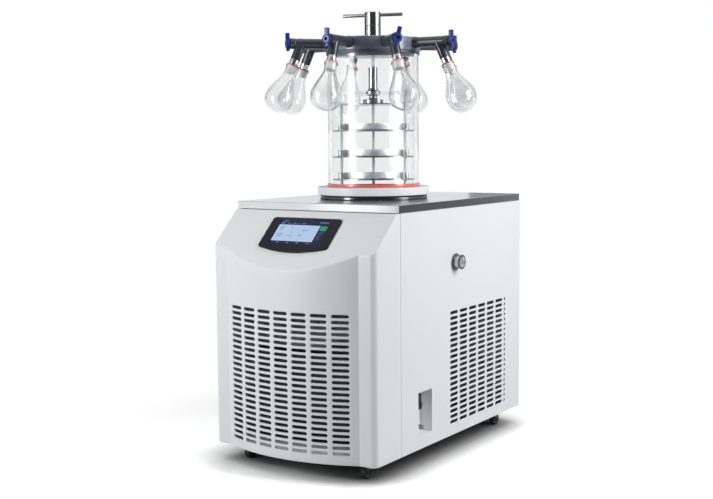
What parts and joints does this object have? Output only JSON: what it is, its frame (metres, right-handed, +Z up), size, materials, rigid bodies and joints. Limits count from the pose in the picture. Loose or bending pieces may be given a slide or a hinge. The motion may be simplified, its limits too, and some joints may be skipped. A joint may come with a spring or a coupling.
{
  "type": "freeze dryer",
  "caption": "Floor-standing laboratory freeze dryer on castors with a clear stoppering chamber, a manifold of flask ports, a press handle, a console screen and slotted grilles",
  "frame": {"origin": "on the floor, under the middle of the cabinet", "axes": "+Z up, +Y to the back, +X to the machine's right side as seen from its front; the console faces -Y"},
  "size_m": [0.6024, 0.8554, 1.1949],
  "materials": {
    "moulding_white": "satin light grey-white moulding",
    "panel_white": "satin powder coat",
    "worktop_paint": "polished light grey top",
    "black_plastic": "satin black",
    "black_gloss": "gloss black",
    "screen": "lit colour touch screen",
    "stainless": "fine brushed stainless",
    "polished_steel": "polished stainless",
    "tee_steel": "satin warm grey steel",
    "zinc": "zinc plated pressing",
    "niche_grey": "matt grey",
    "clear_tube": "clear",
    "flask_glass": "clear blown glass",
    "red_silicone": "matt",
    "grey_silicone": "matt",
    "blue_plastic": "satin blue",
    "castor_tread": "matt black",
    "radiator_fins": "dark coated fins",
    "compressor_black": "black enamel",
    "rocker_red": "gloss",
    "valve_white": "matt"
  },
  "bodies": {
    "cabinet": {"front_bezel": "moulding_white", "right_side_panel": "panel_white", "left_side_panel": "panel_white", "rear_panel": "panel_white", "base_pan": "zinc", "worktop": "worktop_paint", "screen_frame": "black_gloss", "display": "screen", "drain_box": "niche_grey", "drain_valve": "valve_white", "vacuum_port": "stainless", "power_inlet": "black_plastic", "cold_trap": "stainless", "radiator": "radiator_fins", "fan_shroud": "zinc", "compressor": "compressor_black", "seat_ring": "black_gloss", "base_flange": "polished_steel", "base_seal": "red_silicone", "chamber_tube": "clear_tube", "cover_seal": "grey_silicone", "manifold_cover": "black_plastic", "flask_1": "flask_glass", "flask_2": "flask_glass", "flask_3": "flask_glass", "flask_4": "flask_glass", "flask_5": "flask_glass", "flask_6": "flask_glass", "flask_7": "flask_glass", "flask_8": "flask_glass", "hub_boss": "polished_steel", "rack_frame": "stainless", "shelf_3": "stainless", "tray_3": "polished_steel"},
    "drain_lever": {"drain_lever": "black_plastic"},
    "fan": {"fan_blades": "black_plastic"},
    "power_switch": {"power_switch": "rocker_red"},
    "fork_front_left": {"castor_fork_front_left": "zinc"},
    "wheel_front_left": {"castor_wheel_front_left": "castor_tread"},
    "fork_front_right": {"castor_fork_front_right": "zinc"},
    "wheel_front_right": {"castor_wheel_front_right": "castor_tread"},
    "fork_rear_left": {"castor_fork_rear_left": "zinc"},
    "wheel_rear_left": {"castor_wheel_rear_left": "castor_tread"},
    "fork_rear_right": {"castor_fork_rear_right": "zinc"},
    "wheel_rear_right": {"castor_wheel_rear_right": "castor_tread"},
    "valve_1": {"valve_knob_1": "blue_plastic"},
    "valve_2": {"valve_knob_2": "blue_plastic"},
    "valve_3": {"valve_knob_3": "blue_plastic"},
    "valve_4": {"valve_knob_4": "blue_plastic"},
    "valve_5": {"valve_knob_5": "blue_plastic"},
    "valve_6": {"valve_knob_6": "blue_plastic"},
    "valve_7": {"valve_knob_7": "blue_plastic"},
    "valve_8": {"valve_knob_8": "blue_plastic"},
    "tee": {"tee_handle": "tee_steel"},
    "press": {"press_spindle": "polished_steel", "press_plate": "stainless"},
    "upper_shelf": {"shelf_1": "stainless", "tray_1": "polished_steel"},
    "middle_shelf": {"shelf_2": "stainless", "tray_2": "polished_steel"}
  },
  "joints": [
    {"name": "drain_lever_turn", "type": "hinge", "parent": "cabinet", "child": "drain_lever", "pos_m": [0.2328, -0.13765, 0.1565], "axis": [1, 0, 0], "range_deg": [-90, 0]},
    {"name": "fan_spin", "type": "hinge", "parent": "cabinet", "child": "fan", "pos_m": [0, -0.26, 0.1768], "axis": [0, 1, 0], "continuous": true},
    {"name": "power_switch_rock", "type": "hinge", "parent": "cabinet", "child": "power_switch", "pos_m": [-0.15, 0.4266, 0.1335], "axis": [1, 0, 0], "range_deg": [-20, 0]},
    {"name": "swivel_front_left", "type": "hinge", "parent": "cabinet", "child": "fork_front_left", "pos_m": [-0.185, -0.33, 0.0452], "axis": [0, 0, 1], "continuous": true},
    {"name": "roll_front_left", "type": "hinge", "parent": "fork_front_left", "child": "wheel_front_left", "pos_m": [-0.185, -0.318, 0.018], "axis": [1, 0, 0], "continuous": true},
    {"name": "swivel_front_right", "type": "hinge", "parent": "cabinet", "child": "fork_front_right", "pos_m": [0.185, -0.33, 0.0452], "axis": [0, 0, 1], "continuous": true},
    {"name": "roll_front_right", "type": "hinge", "parent": "fork_front_right", "child": "wheel_front_right", "pos_m": [0.185, -0.318, 0.018], "axis": [1, 0, 0], "continuous": true},
    {"name": "swivel_rear_left", "type": "hinge", "parent": "cabinet", "child": "fork_rear_left", "pos_m": [-0.205, 0.34, 0.0452], "axis": [0, 0, 1], "continuous": true},
    {"name": "roll_rear_left", "type": "hinge", "parent": "fork_rear_left", "child": "wheel_rear_left", "pos_m": [-0.205, 0.352, 0.018], "axis": [1, 0, 0], "continuous": true},
    {"name": "swivel_rear_right", "type": "hinge", "parent": "cabinet", "child": "fork_rear_right", "pos_m": [0.205, 0.34, 0.0452], "axis": [0, 0, 1], "continuous": true},
    {"name": "roll_rear_right", "type": "hinge", "parent": "fork_rear_right", "child": "wheel_rear_right", "pos_m": [0.205, 0.352, 0.018], "axis": [1, 0, 0], "continuous": true},
    {"name": "valve_1_turn", "type": "hinge", "parent": "cabinet", "child": "valve_1", "pos_m": [-0.237, 0.00239, 1.1068], "axis": [-0.9987, -0.0506, 0], "range_deg": [0, 180]},
    {"name": "valve_2_turn", "type": "hinge", "parent": "cabinet", "child": "valve_2", "pos_m": [-0.15909, -0.16167, 1.1068], "axis": [-0.6704, -0.742, 0], "range_deg": [0, 180]},
    {"name": "valve_3_turn", "type": "hinge", "parent": "cabinet", "child": "valve_3", "pos_m": [0.01201, -0.2226, 1.1068], "axis": [0.0506, -0.9987, 0], "range_deg": [0, 180]},
    {"name": "valve_4_turn", "type": "hinge", "parent": "cabinet", "child": "valve_4", "pos_m": [0.17607, -0.14469, 1.1068], "axis": [0.742, -0.6704, 0], "range_deg": [0, 180]},
    {"name": "valve_5_turn", "type": "hinge", "parent": "cabinet", "child": "valve_5", "pos_m": [0.237, 0.02641, 1.1068], "axis": [0.9987, 0.0506, 0], "range_deg": [0, 180]},
    {"name": "valve_6_turn", "type": "hinge", "parent": "cabinet", "child": "valve_6", "pos_m": [0.15909, 0.19047, 1.1068], "axis": [0.6704, 0.742, 0], "range_deg": [0, 180]},
    {"name": "valve_7_turn", "type": "hinge", "parent": "cabinet", "child": "valve_7", "pos_m": [-0.01201, 0.2514, 1.1068], "axis": [-0.0506, 0.9987, 0], "range_deg": [0, 180]},
    {"name": "valve_8_turn", "type": "hinge", "parent": "cabinet", "child": "valve_8", "pos_m": [-0.17607, 0.17349, 1.1068], "axis": [-0.742, 0.6704, 0], "range_deg": [0, 180]},
    {"name": "tee_turn", "type": "hinge", "parent": "cabinet", "child": "tee", "pos_m": [0, 0.0144, 1.1779], "axis": [0, 0, -1], "range_deg": [0, 2880]},
    {"name": "press_slide", "type": "slide", "parent": "cabinet", "child": "press", "axis": [0, 0, -1], "range_m": [0, 0.04]},
    {"name": "upper_shelf_slide", "type": "slide", "parent": "cabinet", "child": "upper_shelf", "axis": [0, 0, -1], "range_m": [0, 0.02667]},
    {"name": "middle_shelf_slide", "type": "slide", "parent": "cabinet", "child": "middle_shelf", "axis": [0, 0, -1], "range_m": [0, 0.01333]}
  ],
  "couplings": [
    {"joint": "press_slide", "follows": "tee_turn", "m_per_rad": 0.00079577},
    {"joint": "upper_shelf_slide", "follows": "tee_turn", "m_per_rad": 0.00053052},
    {"joint": "middle_shelf_slide", "follows": "tee_turn", "m_per_rad": 0.00026526}
  ]
}
